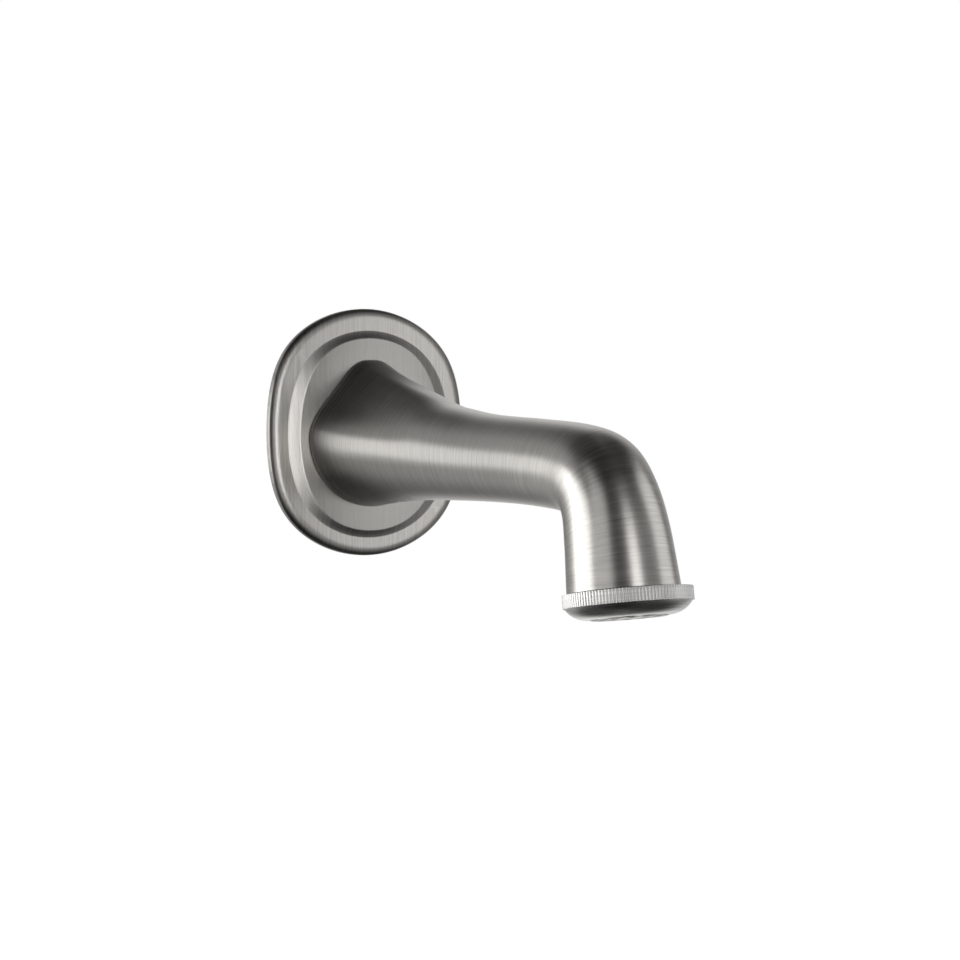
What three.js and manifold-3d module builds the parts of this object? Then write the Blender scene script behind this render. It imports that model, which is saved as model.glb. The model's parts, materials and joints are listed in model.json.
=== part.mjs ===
// A wall-mounted bath spout with a stepped wall plate, a flared cast body that turns down,
// and a knurled pull-down diverter ring at the outlet.
//
// Millimetres. The model is built in a wall frame: x to the right, y up the wall, z the distance
// out from the wall. The exported group turns that into +Z up, with the spout reaching along -Y.
// The origin is on the wall, on the axis of the supply pipe.

import * as THREE from 'three';
import { mergeVertices } from 'three/addons/utils/BufferGeometryUtils.js';
import Module from 'manifold-3d';

const wasm = await Module();
wasm.setup();

// ---- driving dimensions ------------------------------------------------------------------------

const GAP = 0.3; // clearance between neighbouring solids

// wall plate: round outlines with flattened sides, each with its radius, its half width across the
// flats, how sharply the flats meet the round, and how far it sits below the plate's centre
const RIM_OUTLINE = { radius: 50.1, side: 44.8, blend: 8.4, drop: 0 };
const STEP_OUTLINE = { radius: 42, side: 37.4, blend: 6, drop: 0.8 };
const DISC_OUTLINE = { radius: 38.9, side: 32.3, blend: 4, drop: 0.9 };
const BAND_DEPTH = 4.2; // the flat band's distance from the wall
const RIM_ROLL = { across: 4.2, out: 2.4 }; // the quarter ellipse between the rim's edge and the band
const COVE_POWER = 1.2; // the step up to the disc is a cove that steepens towards the disc
const DISC_DEPTH = 5.7; // the raised disc's face
const PLATE_WALL = 2.3; // thickness in front of the hollow back
const RIM_WALL = 2.9;
const HUB_RADIUS = 18.9;
const HUB_BACK = 0.8; // the hub's rear face
const HUB_HOLE = 16.1;
const HUB_GROOVE = { back: 1.3, width: 2, depth: 1.5 };

// spout body: stations along its centre line: distance from wall, height, radius, tilt in degrees
const OUTLET = { reach: 181.1, drop: 53.6, lean: THREE.MathUtils.degToRad(8.5) };
const BODY_END_OFFSET = 2.0; // the body's end sits behind the outlet's axis
const BODY_END_RADIUS = 19.6;
const BODY_END_GAP = 0.35; // open line above the diverter ring
const STATIONS = [
  [DISC_DEPTH, -9.0, 17.0, 0],
  [50, -7.2, 18.9, 0.4],
  [94.8, -9.5, 16.3, 1.4],
  [126.7, -10.8, 15.7, 4.3],
  [151.5, -12.65, 16.0, 14.2],
  [163.5, -15.8, 16.85, 31.6],
  [170.4, -22.8, 17.3, 52.5],
  [175.0, -34.7, 18.3, 70.1],
];
const [, START_HEIGHT, START_RADIUS] = STATIONS[0];
const FLARE_START = 6.6;
const FOOT_RADIUS = 28.6;
const FOOT_HEIGHT = -1.45; // centre of the foot's outline
const FOOT_CREST = 2.1; // narrow crest on top of the foot
const CREST_EDGE = 5; // degrees either side of straight up
const CREST_SOFTNESS = 28;
const FOOT_DENT = 3.6; // hollow flanks beside the crest
const DENT_SPAN = 90;
const FLARE_LENGTH = 64.6;
// how fast each feature of the foot fades along the flare
const FADE = { top: 1.41, bottom: 2.16, centre: 2.09, crest: 0.95, dent: 0.85 };
const FOOT_WALL = 3.2;
const WATERWAY_WALL = 2.5;
const FOOT_HOLLOW_DEPTH = 26;
const WATERWAY_START = 46;
const WATERWAY_END = 0.93; // share of the centre line

// supply connection: a half-inch female adapter with two O-rings in the body's inlet bore
const INLET_BORE = 11.2;
const ADAPTER = { back: 2, barrel: 15, nose: INLET_BORE - GAP, barrelEnd: 25, end: 49 };
const SOCKET = { radius: 9.6, end: 22 };
const ADAPTER_BORE = 6.5;
const ADAPTER_O_RINGS = [39.5, 45];
const O_RING_GROOVE = { width: 2.6, floor: 8.9 };
const HEX = { acrossCorners: 34.6, back: 10, front: 19 };
const SET_SCREW = { at: 31, radius: 2.8, length: 14, key: 1.7, keyDepth: 4 };
const LOCK_GROOVE = { width: 3.4, floor: 10.3 };
const PLATE_SCREW = {
  across: 21.5, height: -8, radius: 2, head: 3.6, headRim: 0.5, headDepth: 2.1, length: 13, slot: 0.9,
};
const LUG = { radius: 5, end: 19, spread: 1.06 };

// outlet, along its own axis: zero at the diverter ring's top, plus towards the body
const TRAVEL = 6;
const OUTLET_BORE = { radius: 13.5, end: 19 };
const OUTLET_SEAL = { from: 4, to: 6.5, depth: 1.4 };
const CLIP_GROOVE = { low: -3.8, high: -2.2, inRing: 0.8, inSleeve: 0.5 };
const RING = { radius: 22.4, band: 4.9, dishRadius: 21.8, lip: 9.2, lipRadius: 13.9 };
const SLEEVE = { radius: 13.2, bore: 11.6, top: 12, end: 7.4 };
const GRILLE = { thickness: 1.8, holes: 12, holeRadius: 2.05, pitchRadius: 10.2 };
const GRILLE_INNER = { holes: 6, holeRadius: 1.6, pitchRadius: 6.0 };
const GRILLE_HUB = { radius: 3.4, bore: 2.2, height: 3.6 };
const SEAT = { bottom: 14.5, top: 17.5, opening: 8.4, hub: 4.3, spoke: 1.8 };
const STEM = { radius: 1.9, top: 29.8 };
const POPPET = { radius: 9.4, thickness: 2, seal: 9.8, sealThickness: 1.5 };
const SPRING = { radius: 3.1, wire: 0.45, turns: 5 };

const AROUND = 32;
const LATHE_STEPS = 28;
const O_RING_STEPS = 24;

// ---- materials ---------------------------------------------------------------------------------

const metal = (color, roughness) => new THREE.MeshStandardMaterial({ color, roughness, metalness: 1 });
const plain = (color, roughness) => new THREE.MeshStandardMaterial({ color, roughness, metalness: 0 });
const NICKEL = metal(0x9a9791, 0.35);
const BRASS = metal(0xb8954f, 0.4);
const STEEL = metal(0xa8abad, 0.3);
const RUBBER = plain(0x1b1b1c, 0.85);
const FOAM = plain(0x2c2c2e, 0.95);
const FIBRE = plain(0x7d2f26, 0.9);
const ACETAL = plain(0xe6e5df, 0.5);

// ---- solids ------------------------------------------------------------------------------------

// Signed volume of an indexed geometry, positive when its faces point out.
function signedVolume(geometry) {
  const p = geometry.attributes.position;
  const index = geometry.index;
  const [a, b, c] = [new THREE.Vector3(), new THREE.Vector3(), new THREE.Vector3()];
  let sum = 0;
  for (let i = 0; i < index.count; i += 3) {
    a.fromBufferAttribute(p, index.getX(i));
    b.fromBufferAttribute(p, index.getX(i + 1));
    c.fromBufferAttribute(p, index.getX(i + 2));
    sum += a.dot(b.cross(c));
  }
  return sum / 6;
}

// A closed geometry with shared vertices and outward faces.
function closed(geometry) {
  geometry.deleteAttribute('normal');
  geometry.deleteAttribute('uv');
  const merged = mergeVertices(geometry, 1e-4);
  const kept = [];
  for (let i = 0; i < merged.index.count; i += 3) {
    const face = [0, 1, 2].map((k) => merged.index.getX(i + k));
    if (new Set(face).size === 3) kept.push(face);
  }
  merged.setIndex(kept.flat());
  if (signedVolume(merged) < 0) merged.setIndex(kept.map(([a, b, c]) => [a, c, b]).flat());
  return merged;
}

function toSolid(geometry) {
  const g = closed(geometry);
  const mesh = new wasm.Mesh({
    numProp: 3,
    vertProperties: new Float32Array(g.attributes.position.array),
    triVerts: new Uint32Array(g.index.array),
  });
  return new wasm.Manifold(mesh);
}

function fromSolid(solid) {
  const mesh = solid.getMesh();
  const g = new THREE.BufferGeometry();
  g.setAttribute('position', new THREE.BufferAttribute(new Float32Array(mesh.vertProperties), 3));
  g.setIndex(new THREE.BufferAttribute(new Uint32Array(mesh.triVerts), 1));
  return g;
}

// The first geometry with the others cut away.
function cut(geometry, ...tools) {
  return fromSolid(tools.reduce((solid, tool) => solid.subtract(toSolid(tool)), toSolid(geometry)));
}

function join(...geometries) {
  return fromSolid(geometries.map(toSolid).reduce((a, b) => a.add(b)));
}

// Turned about z: profile points are [radius, z], closed on itself or ending on the axis.
function turned(profile, steps = LATHE_STEPS) {
  const points = profile.map(([r, z]) => new THREE.Vector2(r, z));
  if (profile[0][0] > 0 || profile.at(-1)[0] > 0) points.push(points[0].clone());
  return closed(new THREE.LatheGeometry(points, steps).rotateX(Math.PI / 2));
}

function disc(radius, z0, z1, steps = LATHE_STEPS) {
  return turned([[0, z0], [radius, z0], [radius, z1], [0, z1]], steps);
}

function washer(inner, outer, z0, z1, steps = LATHE_STEPS) {
  return turned([[inner, z0], [outer, z0], [outer, z1], [inner, z1]], steps);
}

function oRing(radius, section, z) {
  return closed(new THREE.TorusGeometry(radius, section, 5, O_RING_STEPS).translate(0, 0, z));
}

// Skins a row of closed rings, with a flat cap on each end.
function loft(rings) {
  const n = rings[0].length;
  const middle = (ring) => ring.reduce((s, p) => s.add(p), new THREE.Vector3()).divideScalar(n);
  const points = [...rings.flat(), middle(rings[0]), middle(rings.at(-1))];
  const [first, last] = [points.length - 2, points.length - 1];
  const faces = [];
  for (let i = 0; i < n; i++) {
    const j = (i + 1) % n;
    for (let k = 0; k < rings.length - 1; k++) {
      const [a, b] = [k * n + i, k * n + j];
      faces.push(a, b, a + n, b, b + n, a + n);
    }
    faces.push(first, j, i);
    const base = (rings.length - 1) * n;
    faces.push(last, base + i, base + j);
  }
  const g = new THREE.BufferGeometry().setFromPoints(points);
  g.setIndex(faces);
  return closed(g);
}

const ringOf = (count, point) => Array.from({ length: count }, (_, i) => point((i / count) * 2 * Math.PI));
const smooth = (t) => THREE.MathUtils.smoothstep(t, 0, 1);

// ---- wall plate --------------------------------------------------------------------------------

// A ring of the plate: an outline shrunk by `inset` at distance z from the wall.
function plateRing({ radius, side, blend, drop }, inset, z, steps = AROUND) {
  const [round, flat] = [radius - inset, side - inset];
  const reach = flat * (1 - (flat / round) ** blend) ** (-1 / blend);
  return ringOf(steps, (a) => {
    const away = (round ** -blend + (Math.abs(Math.sin(a)) / reach) ** blend) ** (-1 / blend);
    return new THREE.Vector3(away * Math.sin(a), away * Math.cos(a) - drop, z);
  });
}

// The outline a share t of the way from one to another.
function between(from, to, t) {
  return Object.fromEntries(Object.keys(from).map((key) => [key, from[key] + (to[key] - from[key]) * t]));
}

function plateShell() {
  const steps = 44;
  const { across, out } = RIM_ROLL;
  const roll = [0, 0.2, 0.4, 0.6, 0.8, 1].map((t) => {
    const a = t * Math.PI / 2;
    const depth = BAND_DEPTH - out + out * Math.sin(a);
    return plateRing(RIM_OUTLINE, across * (1 - Math.cos(a)), depth, steps);
  });
  const cove = [0, 0.4, 0.7, 1].map((t) => {
    const depth = BAND_DEPTH + (DISC_DEPTH - BAND_DEPTH) * t ** COVE_POWER;
    return plateRing(between(STEP_OUTLINE, DISC_OUTLINE, t), 0, depth, steps);
  });
  return loft([plateRing(RIM_OUTLINE, 0, 0, steps), ...roll, ...cove]);
}

function plateScrewPlaces() {
  return [-1, 1].map((side) => [side * PLATE_SCREW.across, PLATE_SCREW.height]);
}

function escutcheon() {
  const pocket = loft([-1, BAND_DEPTH - PLATE_WALL].map((z) => plateRing(RIM_OUTLINE, RIM_WALL, z)));
  const discHollow = loft([-1, DISC_DEPTH - PLATE_WALL].map((z) => plateRing(DISC_OUTLINE, PLATE_WALL, z)));
  const hub = washer(HUB_HOLE, HUB_RADIUS, HUB_BACK, DISC_DEPTH - PLATE_WALL / 2);
  const hollow = fromSolid(toSolid(join(pocket, discHollow)).subtract(toSolid(hub)));
  const back = HUB_BACK + HUB_GROOVE.back;
  const groove = washer(HUB_HOLE - 1, HUB_HOLE + HUB_GROOVE.depth, back, back + HUB_GROOVE.width);
  const screwHoles = plateScrewPlaces().map(([x, y]) => (
    disc(PLATE_SCREW.radius + GAP, 0, DISC_DEPTH + 1, 16).translate(x, y, 0)));
  const centre = disc(HUB_HOLE, -1, DISC_DEPTH + 1);
  return cut(plateShell(), hollow, centre, groove, ...screwHoles);
}

function wallGasket() {
  const outer = [0, BAND_DEPTH - PLATE_WALL - GAP].map((z) => plateRing(RIM_OUTLINE, RIM_WALL + 0.4, z));
  const inner = [-1, BAND_DEPTH].map((z) => plateRing(DISC_OUTLINE, GAP, z));
  return cut(loft(outer), loft(inner));
}

// A countersunk screw pointing away from the wall, with a slot for a drive.
function plateScrew() {
  const { radius, head, headRim, headDepth, length, slot } = PLATE_SCREW;
  const back = DISC_DEPTH - PLATE_WALL - GAP - headDepth;
  const body = turned([
    [0, back], [head, back], [head, back + headRim], [radius, back + headDepth],
    [radius, back + length], [0, back + length],
  ], 16);
  return cut(body, new THREE.BoxGeometry(head * 3, slot, 2 * slot).translate(0, 0, back));
}

// ---- spout body --------------------------------------------------------------------------------

const [sinLean, cosLean] = [Math.sin(OUTLET.lean), Math.cos(OUTLET.lean)];

// The body's last station lies on the plane of the outlet, behind the outlet's axis.
const bodyEnd = [
  OUTLET.reach - BODY_END_GAP * sinLean - BODY_END_OFFSET * cosLean,
  -OUTLET.drop + BODY_END_GAP * cosLean - BODY_END_OFFSET * sinLean,
  BODY_END_RADIUS,
  90 - THREE.MathUtils.radToDeg(OUTLET.lean),
];
const stations = [...STATIONS, bodyEnd];
const curveOf = (pick) => new THREE.CatmullRomCurve3(stations.map(pick), false, 'catmullrom', 0.5);
const centreLine = curveOf(([out, up]) => new THREE.Vector3(0, up, out));
const thickness = curveOf(([, , radius, tilt]) => new THREE.Vector3(radius, tilt, 0));

// What the flare adds to the neck's radius, by the angle from straight up: a circular foot with
// a crest on top and a hollow in each flank. `left` is the share of the flare still to come.
function flareRadius(angle, left) {
  const degrees = Math.abs(THREE.MathUtils.radToDeg(angle));
  const crest = 1 - smooth((degrees - CREST_EDGE) / CREST_SOFTNESS);
  const across = THREE.MathUtils.clamp((degrees - CREST_EDGE) / DENT_SPAN, 0, 1);
  const dent = Math.sin(across * Math.PI) ** 2;
  const power = THREE.MathUtils.lerp(FADE.top, FADE.bottom, (1 - Math.cos(angle)) / 2);
  return (FOOT_RADIUS - START_RADIUS) * left ** power
    + FOOT_CREST * crest * left ** FADE.crest
    - FOOT_DENT * dent * left ** FADE.dent;
}

// One section of the body at curve parameter t, shrunk by `inset`.
function bodySection(t, inset, steps) {
  const centre = centreLine.getPoint(t);
  const { x: radius, y: tilt } = thickness.getPoint(t);
  const slope = THREE.MathUtils.degToRad(tilt);
  const left = THREE.MathUtils.clamp(1 - (centre.z - FLARE_START) / FLARE_LENGTH, 0, 1);
  centre.y += (FOOT_HEIGHT - START_HEIGHT) * left ** FADE.centre;
  return ringOf(steps, (turn) => {
    const angle = turn > Math.PI ? turn - 2 * Math.PI : turn;
    const r = radius + flareRadius(angle, left) - inset;
    return new THREE.Vector3(
      r * Math.sin(angle),
      centre.y + r * Math.cos(angle) * Math.cos(slope),
      centre.z + r * Math.cos(angle) * Math.sin(slope),
    );
  });
}

// The curve parameter at which the centre line is `out` from the wall, on its straight part.
function parameterAt(out) {
  let [low, high] = [0, 0.6];
  for (let i = 0; i < 30; i++) {
    const mid = (low + high) / 2;
    if (centreLine.getPoint(mid).z < out) low = mid;
    else high = mid;
  }
  return low;
}

function bodySkin(from, to, count, inset, steps = AROUND) {
  const rings = [];
  for (let i = 0; i <= count; i++) rings.push(bodySection(from + (to - from) * (i / count), inset, steps));
  return rings;
}

// Places geometry made along the outlet's axis into the wall frame.
const outletPlace = new THREE.Object3D();
outletPlace.position.set(0, -OUTLET.drop, OUTLET.reach);
outletPlace.rotation.x = -(Math.PI / 2 + OUTLET.lean);
outletPlace.updateMatrix();

function spoutBody() {
  const outside = loft(bodySkin(parameterAt(DISC_DEPTH + GAP), 1, 32, 0));
  const footEnd = parameterAt(FOOT_HOLLOW_DEPTH);
  const hollowRings = bodySkin(0, footEnd, 3, FOOT_WALL, 28);
  const behind = hollowRings[0].map((p) => p.clone().setZ(DISC_DEPTH - 2));
  const lugs = plateScrewPlaces().map(([x, y]) => (
    disc(LUG.radius, 0, LUG.end, 20).translate(x * LUG.spread, y, 0)));
  const footHollow = cut(loft([behind, ...hollowRings]), ...lugs);
  const lugHoles = plateScrewPlaces().map(([x, y]) => (
    disc(PLATE_SCREW.radius + GAP, 0, LUG.end - 2, 16).translate(x, y, 0)));
  const inletBore = disc(INLET_BORE, FOOT_HOLLOW_DEPTH - 2, WATERWAY_START + 4);
  const waterway = loft(bodySkin(parameterAt(WATERWAY_START), WATERWAY_END, 13, WATERWAY_WALL, 20));
  const { radius, end } = OUTLET_BORE;
  const sealGroove = washer(radius - 1, radius + OUTLET_SEAL.depth, OUTLET_SEAL.from, OUTLET_SEAL.to);
  const outletBore = join(disc(radius, -2, end), sealGroove).applyMatrix4(outletPlace.matrix);
  const screwHole = disc(SET_SCREW.radius + GAP, -INLET_BORE + 1, -40, 16)
    .rotateX(-Math.PI / 2)
    .translate(0, 0, SET_SCREW.at);
  return cut(outside, footHollow, ...lugHoles, inletBore, waterway, outletBore, screwHole);
}

// ---- supply connection -------------------------------------------------------------------------

function inletAdapter() {
  const { back, barrel, nose, barrelEnd, end } = ADAPTER;
  const grooves = [
    [SET_SCREW.at, LOCK_GROOVE],
    ...ADAPTER_O_RINGS.map((at) => [at, O_RING_GROOVE]),
  ].flatMap(([at, { width, floor }]) => [
    [nose, at - width / 2], [floor, at - width / 2], [floor, at + width / 2], [nose, at + width / 2],
  ]);
  const body = turned([
    [SOCKET.radius, back], [barrel, back], [barrel, barrelEnd - 4], [nose, barrelEnd],
    ...grooves,
    [nose, end - 1], [nose - 1, end], [ADAPTER_BORE, end],
    [ADAPTER_BORE, SOCKET.end], [SOCKET.radius, SOCKET.end],
  ]);
  const hex = cut(
    disc(HEX.acrossCorners / 2, HEX.back, HEX.front, 6),
    disc(SOCKET.radius + 1, HEX.back - 1, HEX.front + 1),
  );
  return join(body, hex);
}

const inletWasher = () => (
  washer(ADAPTER_BORE + GAP, SOCKET.radius - GAP, SOCKET.end - 1.8, SOCKET.end - GAP));

// A socket-head grub screw standing on its end below the adapter's lock groove.
function setScrew() {
  const { radius, length, key, keyDepth, at } = SET_SCREW;
  const tip = -LOCK_GROOVE.floor - GAP;
  const body = turned([
    [0, tip - length], [radius - 0.5, tip - length], [radius, tip - length + 0.5],
    [radius, tip - 1.5], [radius - 1.3, tip], [0, tip],
  ], 16);
  const socket = disc(key, tip - length - 1, tip - length + keyDepth, 6);
  return cut(body, socket).rotateX(-Math.PI / 2).translate(0, 0, at);
}

// ---- outlet and diverter -----------------------------------------------------------------------

// The diverter ring: a straight band, then a shallow dish that curves in to a flat face.
function diverterRing() {
  const { radius, band, dishRadius, lip, lipRadius } = RING;
  const bore = SLEEVE.radius + GAP;
  const slope = 2 * Math.atan((lip - band) / (dishRadius - lipRadius));
  const curve = (dishRadius - lipRadius) / Math.sin(slope);
  const nose = Array.from({ length: 5 }, (_, i) => {
    const a = slope * (1 - i / 4);
    return [lipRadius + curve * Math.sin(a), -lip + curve * (1 - Math.cos(a))];
  });
  const { low, high, inRing } = CLIP_GROOVE;
  const clipGroove = [[bore, low], [bore + inRing, low], [bore + inRing, high], [bore, high]];
  return turned([
    [bore, 0], [radius - 0.4, 0], [radius, -0.4], [radius, -band], ...nose, [bore, -lip], ...clipGroove,
  ], 48);
}

function guideSleeve() {
  const { radius, bore, top, end } = SLEEVE;
  const { low, high, inSleeve } = CLIP_GROOVE;
  return turned([
    [bore, top], [radius, top], [radius, high], [radius - inSleeve, high], [radius - inSleeve, low],
    [radius, low], [radius, -end], [bore, -end],
  ]);
}

const circleOfHoles = ({ holes, holeRadius, pitchRadius }, z0, z1) => (
  Array.from({ length: holes }, (_, i) => {
    const a = (i / holes) * 2 * Math.PI;
    const [x, y] = [pitchRadius * Math.cos(a), pitchRadius * Math.sin(a)];
    return disc(holeRadius, z0, z1, 8).translate(x, y, 0);
  })
);

function outletGrille() {
  const top = -SLEEVE.end - GAP;
  const bottom = top - GRILLE.thickness;
  const face = disc(SLEEVE.radius, bottom, top);
  const hub = disc(GRILLE_HUB.radius, top - 1, top + GRILLE_HUB.height, 24);
  const bore = disc(GRILLE_HUB.bore, top - 1, top + GRILLE_HUB.height + 1, 24);
  const holes = [GRILLE, GRILLE_INNER].flatMap((set) => circleOfHoles(set, bottom - 1, top + 1));
  return cut(join(face, hub), bore, ...holes);
}

// A plastic insert with a honeycomb of straight cells that calms the stream.
function flowStraightener() {
  const [bottom, top] = [-SLEEVE.end + 0.6, -SLEEVE.end + 7];
  const outer = SLEEVE.bore - GAP;
  const inner = GRILLE_HUB.radius + GAP;
  const cell = 1.45;
  const pitch = 3.3;
  const cells = [];
  for (let q = -4; q <= 4; q++) {
    for (let r = -4; r <= 4; r++) {
      const x = pitch * (q + r / 2);
      const y = pitch * r * Math.sqrt(3) / 2;
      const away = Math.hypot(x, y);
      if (away > inner + cell + 0.3 && away < outer - cell - 0.5) {
        cells.push(disc(cell, bottom - 1, top + 1, 6).translate(x, y, 0));
      }
    }
  }
  return cut(washer(inner, outer, bottom, top), ...cells);
}

// The valve seat: a bush with three spokes that hold a guide for the stem.
function diverterSeat() {
  const { bottom, top, opening, hub, spoke } = SEAT;
  const outer = OUTLET_BORE.radius - GAP;
  const middle = (bottom + top) / 2;
  const bush = washer(opening, outer, bottom, top);
  const guide = disc(hub, bottom, middle, 24);
  const spokes = [0, 1, 2].map((i) => (
    new THREE.BoxGeometry(opening + 0.5 - hub / 2, spoke, middle - bottom)
      .translate((opening + 0.5 + hub / 2) / 2, 0, (bottom + middle) / 2)
      .rotateZ((i / 3) * 2 * Math.PI)));
  return cut(join(bush, guide, ...spokes), disc(STEM.radius + GAP, bottom - 1, top + 1, 24));
}

const stem = () => disc(STEM.radius, -SLEEVE.end + 0.2, STEM.top, 24);
const sealBottom = SEAT.top + GAP + TRAVEL;
const poppetBottom = sealBottom + POPPET.sealThickness + GAP;
const poppetTop = poppetBottom + POPPET.thickness;
const stemHole = STEM.radius + GAP;
const poppetSeal = () => washer(stemHole, POPPET.seal, sealBottom, poppetBottom - GAP);
const poppet = () => washer(stemHole, POPPET.radius, poppetBottom, poppetTop);
const stemClip = () => washer(stemHole, 3.6, poppetTop + GAP, poppetTop + GAP + 0.8, 24);

// The return spring stands on the seat's guide and lifts the poppet.
function returnSpring() {
  const low = (SEAT.bottom + SEAT.top) / 2 + GAP + SPRING.wire;
  const high = sealBottom - GAP - SPRING.wire;
  const steps = SPRING.turns * 10;
  const points = Array.from({ length: steps + 1 }, (_, i) => {
    const a = (i / 10) * 2 * Math.PI;
    const [x, y] = [SPRING.radius * Math.cos(a), SPRING.radius * Math.sin(a)];
    return new THREE.Vector3(x, y, low + (high - low) * (i / steps));
  });
  const section = new THREE.Shape(ringOf(5, (a) => (
    new THREE.Vector2(SPRING.wire * Math.cos(a), SPRING.wire * Math.sin(a)))));
  const extrudePath = new THREE.CatmullRomCurve3(points);
  return closed(new THREE.ExtrudeGeometry(section, { steps, bevelEnabled: false, extrudePath }));
}

// ---- assembly ----------------------------------------------------------------------------------

function addPiece(group, name, geometry, material) {
  const mesh = new THREE.Mesh(geometry, material);
  mesh.name = name;
  group.add(mesh);
  return mesh;
}

const wall = new THREE.Group();
wall.rotation.x = Math.PI / 2;

addPiece(wall, 'wall_gasket', wallGasket(), FOAM);
addPiece(wall, 'escutcheon', escutcheon(), NICKEL);
const hubSeal = oRing(HUB_HOLE + 0.1, 0.75, HUB_BACK + HUB_GROOVE.back + HUB_GROOVE.width / 2);
addPiece(wall, 'escutcheon_o_ring', hubSeal, RUBBER);
['plate_screw_left', 'plate_screw_right'].forEach((name, i) => {
  const [x, y] = plateScrewPlaces()[i];
  addPiece(wall, name, plateScrew(), STEEL).position.set(x, y, 0);
});
addPiece(wall, 'spout_body', spoutBody(), NICKEL);
addPiece(wall, 'inlet_adapter', inletAdapter(), BRASS);
addPiece(wall, 'inlet_washer', inletWasher(), FIBRE);
['adapter_o_ring_rear', 'adapter_o_ring_front'].forEach((name, i) => {
  addPiece(wall, name, oRing(10.05, 0.85, ADAPTER_O_RINGS[i]), RUBBER);
});
addPiece(wall, 'set_screw', setScrew(), STEEL);

const outlet = new THREE.Group();
outlet.position.copy(outletPlace.position);
outlet.rotation.copy(outletPlace.rotation);
wall.add(outlet);

addPiece(outlet, 'diverter_seat', diverterSeat(), BRASS);
const sleeveSeal = oRing(OUTLET_BORE.radius + 0.6, 0.5, (OUTLET_SEAL.from + OUTLET_SEAL.to) / 2);
addPiece(outlet, 'sleeve_o_ring', sleeveSeal, RUBBER);
addPiece(outlet, 'return_spring', returnSpring(), STEEL);
addPiece(outlet, 'diverter_stem', stem(), STEEL);
addPiece(outlet, 'diverter_poppet', poppet(), BRASS);
addPiece(outlet, 'poppet_seal', poppetSeal(), RUBBER);
addPiece(outlet, 'stem_clip', stemClip(), STEEL);
addPiece(outlet, 'guide_sleeve', guideSleeve(), NICKEL);
addPiece(outlet, 'flow_straightener', flowStraightener(), ACETAL);
addPiece(outlet, 'outlet_grille', outletGrille(), NICKEL);
const clip = oRing(SLEEVE.radius + GAP, 0.45, (CLIP_GROOVE.low + CLIP_GROOVE.high) / 2);
addPiece(outlet, 'ring_clip', clip, STEEL);
addPiece(outlet, 'diverter_ring', diverterRing(), NICKEL);

const part = new THREE.Group();
part.add(wall);

export default part;
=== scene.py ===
import json
import math

import bpy
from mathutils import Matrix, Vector


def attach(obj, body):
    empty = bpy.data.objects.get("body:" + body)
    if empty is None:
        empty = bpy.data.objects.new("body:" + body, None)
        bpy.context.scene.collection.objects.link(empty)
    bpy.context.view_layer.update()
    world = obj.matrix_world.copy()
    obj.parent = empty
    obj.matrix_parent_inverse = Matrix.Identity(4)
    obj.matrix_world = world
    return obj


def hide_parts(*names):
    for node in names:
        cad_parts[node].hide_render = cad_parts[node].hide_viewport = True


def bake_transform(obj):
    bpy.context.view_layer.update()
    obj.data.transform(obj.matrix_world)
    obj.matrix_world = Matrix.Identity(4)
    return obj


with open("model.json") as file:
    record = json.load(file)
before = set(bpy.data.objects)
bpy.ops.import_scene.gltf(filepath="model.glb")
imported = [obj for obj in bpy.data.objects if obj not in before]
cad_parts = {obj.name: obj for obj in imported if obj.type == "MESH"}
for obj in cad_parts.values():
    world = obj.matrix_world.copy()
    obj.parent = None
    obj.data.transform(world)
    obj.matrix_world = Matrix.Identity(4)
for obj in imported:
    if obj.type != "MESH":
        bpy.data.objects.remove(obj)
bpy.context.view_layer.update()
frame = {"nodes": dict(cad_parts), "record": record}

# A wall-mounted bath spout. The wall is the XZ plane, the spout reaches along -Y.
# Shapes are written in millimetres in the same wall frame as the CAD part: x to the right,
# y up the wall, z out from the wall. wall_point() turns that into the row frame in metres.

MM = 0.001
GAP = 0.3  # the clearance between neighbouring pieces

# ---- dimensions: the CAD part's, with small rounds and grooves and a softer end of the flare -----

# Round outlines with flattened sides: radius, half width across the flats, how sharply the flats
# meet the round, and how far the outline sits below the plate's centre.
RIM_OUTLINE = (50.1, 44.8, 8.4, 0)
STEP_OUTLINE = (42, 37.4, 6, 0.8)
DISC_OUTLINE = (38.9, 32.3, 4, 0.9)
BAND_DEPTH = 4.2
RIM_ROLL_ACROSS = 4.2
RIM_ROLL_OUT = 2.4
COVE_POWER = 1.2
DISC_DEPTH = 5.7
PLATE_WALL = 2.3
RIM_WALL = 2.9
HUB_RADIUS = 18.9
HUB_BACK = 0.8
HUB_HOLE = 16.1
HUB_GROOVE = (3.3, 1.3)  # the o-ring's groove in the hub's hole, its front and back from HUB_BACK
HUB_GROOVE_DEPTH = 1.5
HUB_BEVEL = 0.2
RIM_EDGE = 0.15  # the small round where the rim meets the wall
BAND_MARGIN = 0.2  # how far in from the rim's roll the flat band starts
BROW_WIDTH = 0.25  # the small round at the disc's edge, and its middle: how far in, how far down
BROW_MIDDLE = (0.06, 0.03)
PLATE_SCREW_ACROSS = 21.5
PLATE_SCREW_HEIGHT = -8
PLATE_SCREW_HOLE = 2.3

REACH = 181.1
DROP = 53.6
LEAN = math.radians(8.5)
BODY_END_OFFSET = 2.0
BODY_END_RADIUS = 19.6
BODY_END_GAP = 0.35
BODY_END_EDGE = 0.35
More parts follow.
